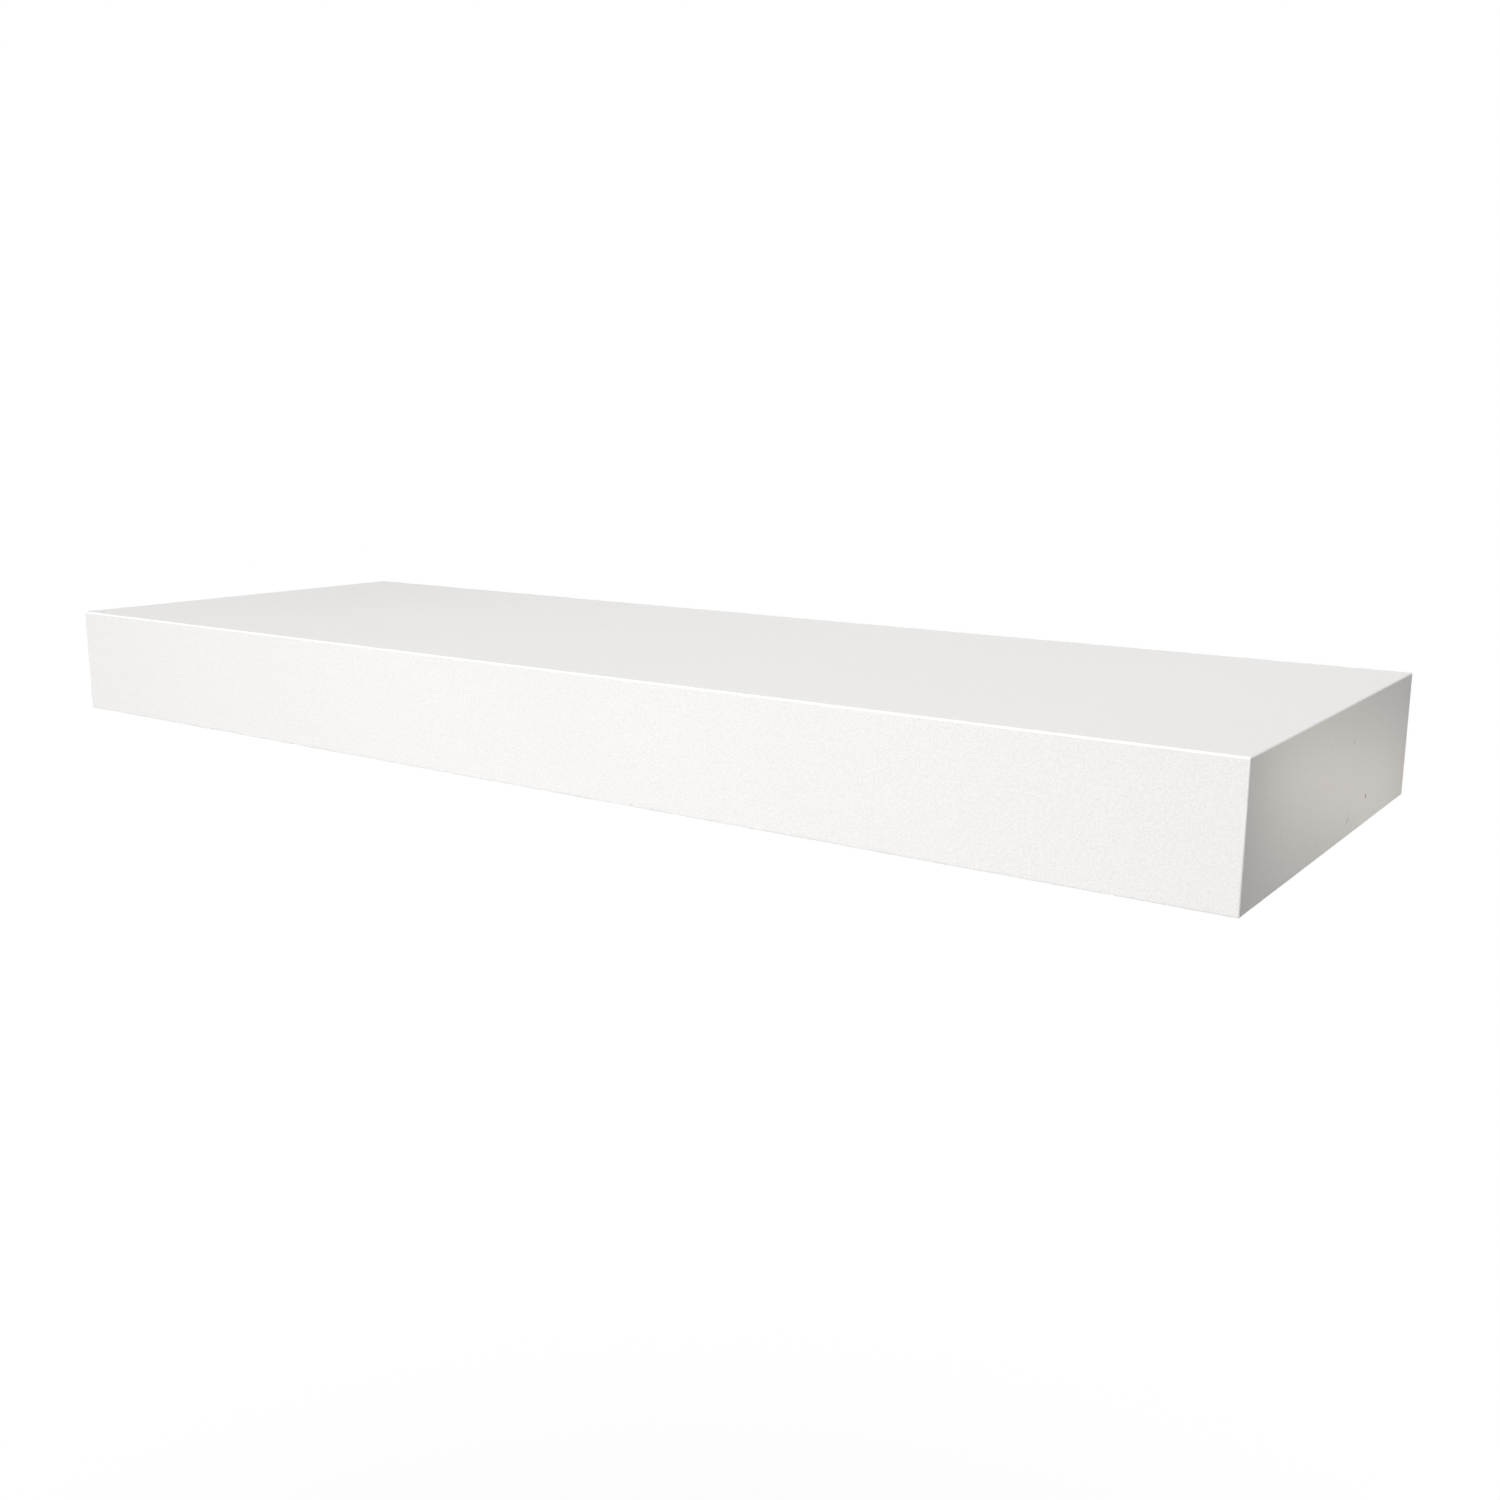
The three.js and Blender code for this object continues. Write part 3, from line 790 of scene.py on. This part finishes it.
def coat_finish(settings):
    """Satin black powder coat, rubbed to bare steel here and there along the plate's outline."""
    coat = Finish("black_powder_coat")
    x, _, z = coat.axes()
    half = (plate_high - plate_low) / 2
    outline = (half.x - abs(x)).least(half.z - abs(z))
    peel = coat.noise(1250.0, detail=2.0, roughness=0.5)
    patch = coat.noise(24.0, detail=4.0, roughness=0.6)
    chips = coat.noise(420.0, detail=4.0, roughness=0.7)
    bare = outline.band(1.0 * MM, 0.1 * MM) * chips.band(0.6, 0.66) * patch.band(0.45, 0.6)
    dust = patch.band(0.45, 0.8) * 0.35 + chips.band(0.62, 0.8) * 0.3
    dusty = coat.mix(dust, settings.coat, settings.coat_dust)
    coated = coat.mix(peel.band(0.42, 0.68) * 0.28, dusty, settings.coat_dust)
    colour = coat.mix(bare, coated, settings.steel)
    roughness = 0.42 + 0.1 * peel + 0.12 * patch - 0.08 * bare
    height = peel * (0.06 * MM) - bare * (0.05 * MM)
    return coat.done(colour, roughness, coat.relief(height), metallic=bare)


# How a screw is cut, in shares: a thread's depth of its pitch, the neck of the shank, the blunt point
# of the tip, the cross's arms and slots of the head's radius, its depth of the head's width, and its
# floor of its mouth.
THREAD_DEPTH = 0.55
SHANK_NECK = 0.97
TIP_POINT = 0.1
CROSS_ARM = 0.55
CROSS_SLOT = 0.14
CROSS_DEPTH = 0.22
CROSS_FLOOR = 0.55

# How far the rods' edges and the screw heads' edges are broken, and how long the screws' tips are.
ROD_BREAK = MM / 6
HEAD_BREAK = MM / 20
ROD_SCREW_TIP = MM / 2
LOCK_SCREW_TIP = 1.5 * MM


def thread(root, crest, pitch, low, high, steps):
    """A screw thread round the Z axis, cut off level at both heights."""
    mesh = bmesh.new()
    # Each point is a radius and its share of the pitch.
    zigzag = ((root, 0.0), (root, 0.18), (crest, 0.46), (crest, 0.54), (root, 0.82), (root, 1.0))
    profile = [(radius, low + pitch * (share - 1.0)) for radius, share in zigzag]
    turns = math.ceil((high - low) / pitch) + 2
    spin_profile(mesh, profile, steps, turns, pitch)
    bmesh.ops.remove_doubles(mesh, verts=mesh.verts, dist=FINE_REACH)
    for height, above in ((low, False), (high, True)):
        geometry = list(mesh.verts) + list(mesh.edges) + list(mesh.faces)
        bmesh.ops.bisect_plane(
            mesh,
            geom=geometry,
            dist=JOIN_REACH,
            plane_co=(0.0, 0.0, height),
            plane_no=Z_AXIS,
            clear_outer=above,
            clear_inner=not above,
        )
    return mesh


def sink_cross(mesh, arm, slot, depth):
    """Sinks a cross into the flat top of a screw head at height zero."""

    def top_faces():
        return [face for face in mesh.faces if abs(face.calc_center_median().z) < FINE_REACH]

    across = ((X_AXIS, 1), (Y_AXIS, 0))
    for axis, _ in across:
        for side in (-slot, slot):
            slice_faces(mesh, top_faces(), axis * side, axis)
    for axis, other in across:
        for side in (-arm, arm):
            arms = [face for face in top_faces() if abs(face.calc_center_median()[other]) < slot]
            slice_faces(mesh, arms, axis * side, axis)
    cross = []
    for face in top_faces():
        x, y, _ = (abs(value) for value in face.calc_center_median())
        if min(x, y) < slot and max(x, y) < arm:
            cross.append(face)
    sunk = bmesh.ops.extrude_face_region(mesh, geom=cross)["geom"]
    bmesh.ops.delete(mesh, geom=cross, context="FACES")
    floor = [item for item in sunk if isinstance(item, bmesh.types.BMVert)]
    bmesh.ops.translate(mesh, vec=-Z_AXIS * depth, verts=floor)
    bmesh.ops.scale(mesh, vec=(CROSS_FLOOR, CROSS_FLOOR, 1.0), verts=floor)


def cross_head_screw(settings, width, pitch, head_width, length, tip):
    """A countersunk screw standing on its tip, with the flat of its head at height zero."""
    shank = width / 2
    head = head_width / 2
    neck = -settings.head_rim - head + shank
    thread_top = neck - pitch * 0.5
    root = shank - pitch * THREAD_DEPTH
    mesh = thread(root, shank, pitch, -length, thread_top, settings.screw_sides)
    for point in mesh.verts:
        radius = math.hypot(point.co.x, point.co.y)
        allowed = shank - tip + point.co.z + length
        if radius > allowed:
            point.co.xy *= max(allowed, tip * TIP_POINT) / radius
    bmesh.ops.holes_fill(mesh, edges=open_edges(mesh, -length), sides=0)
    profile = (
        (shank * SHANK_NECK, neck),
        (head, -settings.head_rim),
        (head, -HEAD_BREAK),
        (head - HEAD_BREAK, 0.0),
    )
    spin_profile(mesh, profile, settings.screw_sides)
    bmesh.ops.contextual_create(mesh, geom=open_edges(mesh, 0.0))
    bmesh.ops.bridge_loops(mesh, edges=open_edges(mesh, thread_top) + open_edges(mesh, neck))
    tidy(mesh)
    sink_cross(mesh, head * CROSS_ARM, head * CROSS_SLOT, head_width * CROSS_DEPTH)
    return mesh


class SHELF_OT_make_plate(bpy.types.Operator):
    """Makes the wall plate with its edges broken and its black coat"""

    bl_idname = "wall_shelf.make_plate"
    bl_label = "Wall plate"

    def execute(self, context):
        settings = context.scene.shelf_bracket
        mesh = bmesh.new()
        mesh.from_mesh(frame["nodes"]["wall_plate"].data)
        tidy(mesh)
        bmesh.ops.dissolve_limit(
            mesh,
            angle_limit=math.radians(1.0),
            use_dissolve_boundaries=False,
            verts=mesh.verts,
            edges=mesh.edges,
        )
        piece = place_piece(
            "coated_plate", mesh, coat_finish(settings), "wall_bracket", ["wall_plate"]
        )
        broken = piece.modifiers.new("broken edges", "BEVEL")
        broken.width = settings.plate_edge
        broken.segments = 3
        broken.limit_method = "ANGLE"
        broken.angle_limit = math.radians(40)
        even_shading(piece)
        return {"FINISHED"}


class SHELF_OT_make_rods(bpy.types.Operator):
    """Makes the two support rods, chamfered at the tip and bored for their screws"""

    bl_idname = "wall_shelf.make_rods"
    bl_label = "Support rods"

    def execute(self, context):
        settings = context.scene.shelf_bracket
        radius = rod_high.z
        length = rod_high.y - rod_low.y
        bore = settings.rod_bore / 2
        bore_end = settings.rod_bore_depth + rod_high.y
        profile = (
            (0.0, bore_end),
            (bore, bore_end),
            (bore, 0.0),
            (radius, 0.0),
            (radius, length - settings.rod_chamfer),
            (radius - settings.rod_chamfer, length),
            (0.0, length),
        )
        finish = rod_finish(settings)
        for name, side in SIDES:
            mesh = bmesh.new()
            spin_profile(mesh, profile, settings.rod_sides)
            tidy(mesh)
            ease(mesh, sharp_edges(mesh, math.radians(30)), ROD_BREAK, steps=3)
            # The profile's heights run from the plate towards the room.
            stand(mesh, math.pi / 2, (side * rod_x, rod_high.y, 0.0))
            piece = place_piece(f"drawn_rod_{name}", mesh, finish, "wall_bracket", [f"rod_{name}"])
            even_shading(piece)
        return {"FINISHED"}


class SHELF_OT_make_screws(bpy.types.Operator):
    """Makes the rod screws in the plate's back and the lock screws under the shelf"""

    bl_idname = "wall_shelf.make_screws"
    bl_label = "Screws"

    def execute(self, context):
        settings = context.scene.shelf_bracket
        finish = zinc_finish("bright_zinc_screw", settings, dullness=0.6)
        rod_screw_size = rod_screw_high - rod_screw_low
        lock_screw_size = lock_screw_high - lock_screw_low
        for name, side in SIDES:
            mesh = cross_head_screw(
                settings, settings.rod_screw_width, settings.rod_screw_pitch,
                rod_screw_size.x, rod_screw_size.y, ROD_SCREW_TIP,
            )
            stand(mesh, -math.pi / 2, (side * rod_x, rod_screw_high.y, 0.0))
            place_piece(
                f"threaded_rod_screw_{name}", mesh, finish, "wall_bracket", [f"rod_screw_{name}"]
            )
            mesh = cross_head_screw(
                settings, settings.lock_screw_width, settings.lock_screw_pitch,
                lock_screw_size.x, lock_screw_size.z, LOCK_SCREW_TIP,
            )
            stand(mesh, math.pi, (side * rod_x, lock_screw_y, lock_screw_low.z))
            place_piece(
                f"threaded_lock_screw_{name}", mesh, finish, "shelf", [f"lock_screw_{name}"]
            )
        return {"FINISHED"}


# Studio and camera


class StudioSettings(bpy.types.PropertyGroup):
    floor_height: FloatProperty(
        name="Floor height", description="How high the floor lies", default=-1.0, unit="LENGTH"
    )
    floor_width: FloatProperty(
        name="Floor width", description="Width of the floor", default=16.0, unit="LENGTH"
    )
    ambient: FloatProperty(name="Ambient", description="Even light from all round", default=0.165)
    ambient_colour: FloatVectorProperty(
        name="Ambient colour", description="The even light's warm white",
        default=(1.0, 0.975, 0.945), subtype="COLOR",
    )
    front_power: FloatProperty(
        name="Front lamp", description="Power of the lamp in front", default=10.0, unit="POWER"
    )
    front_place: FloatVectorProperty(
        name="Front place", description="Where the lamp in front stands",
        default=(0.02, -2.8, -0.01), subtype="XYZ", unit="LENGTH",
    )
    front_width: FloatProperty(
        name="Front width", description="Width of the lamp in front", default=0.5, unit="LENGTH"
    )
    front_spread: FloatProperty(
        name="Front spread", description="How wide the lamp in front throws its light",
        default=math.radians(80.0), subtype="ANGLE",
    )
    top_power: FloatProperty(
        name="Top lamp", description="Power of the lamp above", default=17.4, unit="POWER"
    )
    top_place: FloatVectorProperty(
        name="Top place", description="Where the lamp above stands",
        default=(0.224, -0.4, 1.556), subtype="XYZ", unit="LENGTH",
    )
    top_width: FloatProperty(
        name="Top width", description="Width of the lamp above", default=0.5, unit="LENGTH"
    )
    fill_power: FloatProperty(
        name="Fill lamp", description="Power of the small fill", default=0.018, unit="POWER"
    )
    fill_place: FloatVectorProperty(
        name="Fill place", description="Where the small fill stands, by the right end",
        default=(0.3486, -0.0946, -0.0036), subtype="XYZ", unit="LENGTH",
    )
    fill_width: FloatProperty(
        name="Fill width", description="The small fill from end to end", default=0.205, unit="LENGTH"
    )
    fill_height: FloatProperty(
        name="Fill height", description="Height of the small fill", default=0.008, unit="LENGTH"
    )
    fill_turn: FloatProperty(
        name="Fill turn", description="How far the small fill leans to the right end's diagonal",
        default=math.radians(-14.0), subtype="ANGLE",
    )
    fill_colour: FloatVectorProperty(
        name="Fill colour", description="The small fill's warm white",
        default=(1.0, 0.92, 0.83), subtype="COLOR",
    )
    edge_power: FloatProperty(
        name="Edge lamp", description="Power of the strip that glints on the eased edges",
        default=2.0, unit="POWER",
    )
    edge_place: FloatVectorProperty(
        name="Edge place", description="Where the strip stands",
        default=(-0.68, -0.38, 0.90), subtype="XYZ", unit="LENGTH",
    )
    edge_width: FloatProperty(
        name="Edge width", description="Width of the strip", default=0.15, unit="LENGTH"
    )
    edge_length: FloatProperty(
        name="Edge length", description="Length of the strip", default=1.35, unit="LENGTH"
    )
    left_power: FloatProperty(
        name="Left lamp", description="Power of the lamp on the left", default=3.0, unit="POWER"
    )
    left_place: FloatVectorProperty(
        name="Left place", description="Where the lamp on the left stands",
        default=(-1.3, -0.1, 0.0), subtype="XYZ", unit="LENGTH",
    )
    left_width: FloatProperty(
        name="Left width", description="Width of the lamp on the left", default=0.6, unit="LENGTH"
    )
    back_power: FloatProperty(
        name="Back lamp", description="Power of the lamp behind", default=16.0, unit="POWER"
    )
    back_place: FloatVectorProperty(
        name="Back place", description="Where the lamp behind stands",
        default=(-0.3, 1.7, -0.1), subtype="XYZ", unit="LENGTH",
    )
    back_width: FloatProperty(
        name="Back width", description="Width of the lamp behind", default=2.2, unit="LENGTH"
    )


def seen_directly(stage):
    """1 for what the camera sees, alone or in metal or glass, and 0 for light that falls on things."""
    outputs = ("Is Camera Ray", "Is Glossy Ray", "Is Transmission Ray")
    camera, glossy, through = (stage.node("ShaderNodeLightPath", output=name) for name in outputs)
    return camera.most(glossy).most(through)


def white_world(world, ambient, colour):
    """A plain white background that lights the object at a level of its own."""
    stage = Finish("studio_world", world.node_tree)
    light = stage.node("ShaderNodeBackground", sockets={"Color": colour, "Strength": ambient})
    white = stage.node("ShaderNodeBackground", sockets={"Color": WHITE, "Strength": 1.0})
    mixed = stage.node("ShaderNodeMixShader", sockets={0: seen_directly(stage), 1: light, 2: white})
    stage.end_with(mixed, "ShaderNodeOutputWorld")


# The floor shows its shade and the shelf's shadow round one place, and fades to plain white between the
# pool's two radii. The camera sees even the pool's middle mostly as plain white.
FLOOR_SHADE = (0.86, 0.86, 0.86)
FLOOR_POOL = (0.25, 1.15)
FLOOR_POOL_Y = -0.1
FLOOR_POOL_WHITE = 0.86


def floor_finish():
    """A pale floor that keeps the shelf's soft shadow and runs out into plain white."""
    floor = Finish("pale_floor")
    x, y, _ = floor.axes()
    forward = y - FLOOR_POOL_Y
    away = ((x * x + forward * forward) ** 0.5).band(*FLOOR_POOL)
    whiteness = seen_directly(floor) * (FLOOR_POOL_WHITE + (1.0 - FLOOR_POOL_WHITE) * away)
    matt = floor.node("ShaderNodeBsdfDiffuse", sockets={"Color": FLOOR_SHADE, "Roughness": 0.5})
    white = floor.node("ShaderNodeEmission", sockets={"Color": WHITE, "Strength": 1.0})
    floor.end_with(floor.node("ShaderNodeMixShader", sockets={0: whiteness, 1: matt, 2: white}))
    return floor.material


def add_lamp(name, place, width, length, power, colour=WHITE, glint=False, spread=math.pi, turn=0.0):
    """A soft lamp that faces the shelf, unseen by the camera. It lights things or only glints on them."""
    data = bpy.data.lights.new(name, "AREA")
    data.shape = "RECTANGLE"
    data.size = width
    data.size_y = length
    data.energy = power
    data.color = colour
    data.spread = spread
    lamp = bpy.data.objects.new(name, data)
    lamp.location = place
    facing = (shelf_middle - Vector(place)).to_track_quat("-Z", "Y").to_matrix()
    lamp.rotation_euler = (facing @ Matrix.Rotation(turn, 3, "Z")).to_euler()
    lamp.visible_camera = False
    lamp.visible_diffuse = not glint
    lamp.visible_glossy = glint
    bpy.context.scene.collection.objects.link(lamp)


class SHELF_OT_set_studio(bpy.types.Operator):
    """Sets up the floor, the white background and the lamps"""

    bl_idname = "wall_shelf.set_studio"
    bl_label = "Studio"

    def execute(self, context):
        settings = context.scene.shelf_studio
        world = bpy.data.worlds.new("white_studio")
        world.use_nodes = True
        context.scene.world = world
        white_world(world, settings.ambient, settings.ambient_colour)
        mesh = bmesh.new()
        place = Matrix.Translation((0.0, 0.0, settings.floor_height))
        half = settings.floor_width / 2
        bmesh.ops.create_grid(mesh, x_segments=1, y_segments=1, size=half, matrix=place)
        floor = make_object("studio_floor", mesh, floor_finish())
        spreads = {"front": settings.front_spread}
        for name in ("front", "top", "left", "back"):
            parts = [getattr(settings, f"{name}_{part}") for part in ("place", "width", "power")]
            place, width, power = parts
            add_lamp(f"{name}_lamp", place, width, width, power, spread=spreads.get(name, math.pi))
        add_lamp(
            "fill_lamp", settings.fill_place, settings.fill_width, settings.fill_height, settings.fill_power,
            colour=settings.fill_colour, turn=settings.fill_turn,
        )
        add_lamp(
            "edge_lamp", settings.edge_place, settings.edge_width, settings.edge_length, settings.edge_power,
            glint=True,
        )
        context.scene.view_settings.view_transform = "Standard"
        return {"FINISHED"}


# The width of the camera's sensor, in mm.
SENSOR_WIDTH = 36.0


class CameraSettings(bpy.types.PropertyGroup):
    place: FloatVectorProperty(
        name="Place", description="Where the camera stands",
        default=(446.48 * MM, -663.74 * MM, 122.92 * MM), subtype="XYZ", unit="LENGTH",
    )
    azimuth: FloatProperty(
        name="Azimuth", description="How far the camera is round to the right",
        default=math.radians(35.283), subtype="ANGLE",
    )
    elevation: FloatProperty(
        name="Elevation", description="How far the camera looks down",
        default=math.radians(11.833), subtype="ANGLE",
    )
    roll: FloatProperty(
        name="Roll", description="How far the camera leans", default=math.radians(0.260), subtype="ANGLE"
    )
    lens: FloatProperty(name="Lens", description="Focal length for a 36 mm sensor, in mm", default=37.42)


class SHELF_OT_set_camera(bpy.types.Operator):
    """Sets up the camera in front of the shelf, above it and to the right"""

    bl_idname = "wall_shelf.set_camera"
    bl_label = "Camera"

    def execute(self, context):
        settings = context.scene.shelf_camera
        turn = Matrix.Rotation(settings.azimuth, 4, "Z")
        tilt = Matrix.Rotation(math.pi / 2 - settings.elevation, 4, "X")
        lean = Matrix.Rotation(settings.roll, 4, "Z")
        data = bpy.data.cameras.new("front_camera")
        data.sensor_width = SENSOR_WIDTH
        data.lens = settings.lens
        camera = bpy.data.objects.new("front_camera", data)
        camera.matrix_world = Matrix.Translation(settings.place) @ turn @ tilt @ lean
        context.scene.collection.objects.link(camera)
        context.scene.camera = camera
        return {"FINISHED"}


class SHELF_PT_panel(bpy.types.Panel):
    """Lists what makes up the shelf"""

    bl_idname = "SHELF_PT_panel"
    bl_label = "Floating wall shelf"
    bl_space_type = "VIEW_3D"
    bl_region_type = "UI"
    bl_category = "Wall shelf"

    def draw(self, context):
        for settings_name, steps in STEPS:
            box = self.layout.box()
            settings = getattr(context.scene, settings_name)
            for step in steps:
                box.operator(step.bl_idname)
            for name in settings.bl_rna.properties.keys():
                if name not in ("rna_type", "name"):
                    box.prop(settings, name)


SETTINGS = {
    "shelf_foil": FoilSettings,
    "shelf_board": BoardSettings,
    "shelf_bracket": BracketSettings,
    "shelf_studio": StudioSettings,
    "shelf_camera": CameraSettings,
}
STEPS = (
    ("shelf_foil", (SHELF_OT_make_foil,)),
    ("shelf_board", (SHELF_OT_finish_boards, SHELF_OT_finish_core)),
    (
        "shelf_bracket",
        (SHELF_OT_finish_staples, SHELF_OT_make_plate, SHELF_OT_make_rods, SHELF_OT_make_screws),
    ),
    ("shelf_studio", (SHELF_OT_set_studio,)),
    ("shelf_camera", (SHELF_OT_set_camera,)),
)
OPERATORS = tuple(step for _, steps in STEPS for step in steps)


def register():
    for item in (*SETTINGS.values(), *OPERATORS, SHELF_PT_panel):
        bpy.utils.register_class(item)
    for name, group in SETTINGS.items():
        setattr(bpy.types.Scene, name, PointerProperty(type=group))


def unregister():
    for name in SETTINGS:
        delattr(bpy.types.Scene, name)
    for item in reversed((*SETTINGS.values(), *OPERATORS, SHELF_PT_panel)):
        bpy.utils.unregister_class(item)


def main():
    """Makes the pieces and the stage in order."""
    register()
    bpy.ops.wall_shelf.make_foil()
    bpy.ops.wall_shelf.finish_boards()
    bpy.ops.wall_shelf.finish_core()
    bpy.ops.wall_shelf.finish_staples()
    bpy.ops.wall_shelf.make_plate()
    bpy.ops.wall_shelf.make_rods()
    bpy.ops.wall_shelf.make_screws()
    bpy.ops.wall_shelf.set_studio()
    bpy.ops.wall_shelf.set_camera()


if __name__ == "__main__":
    main()
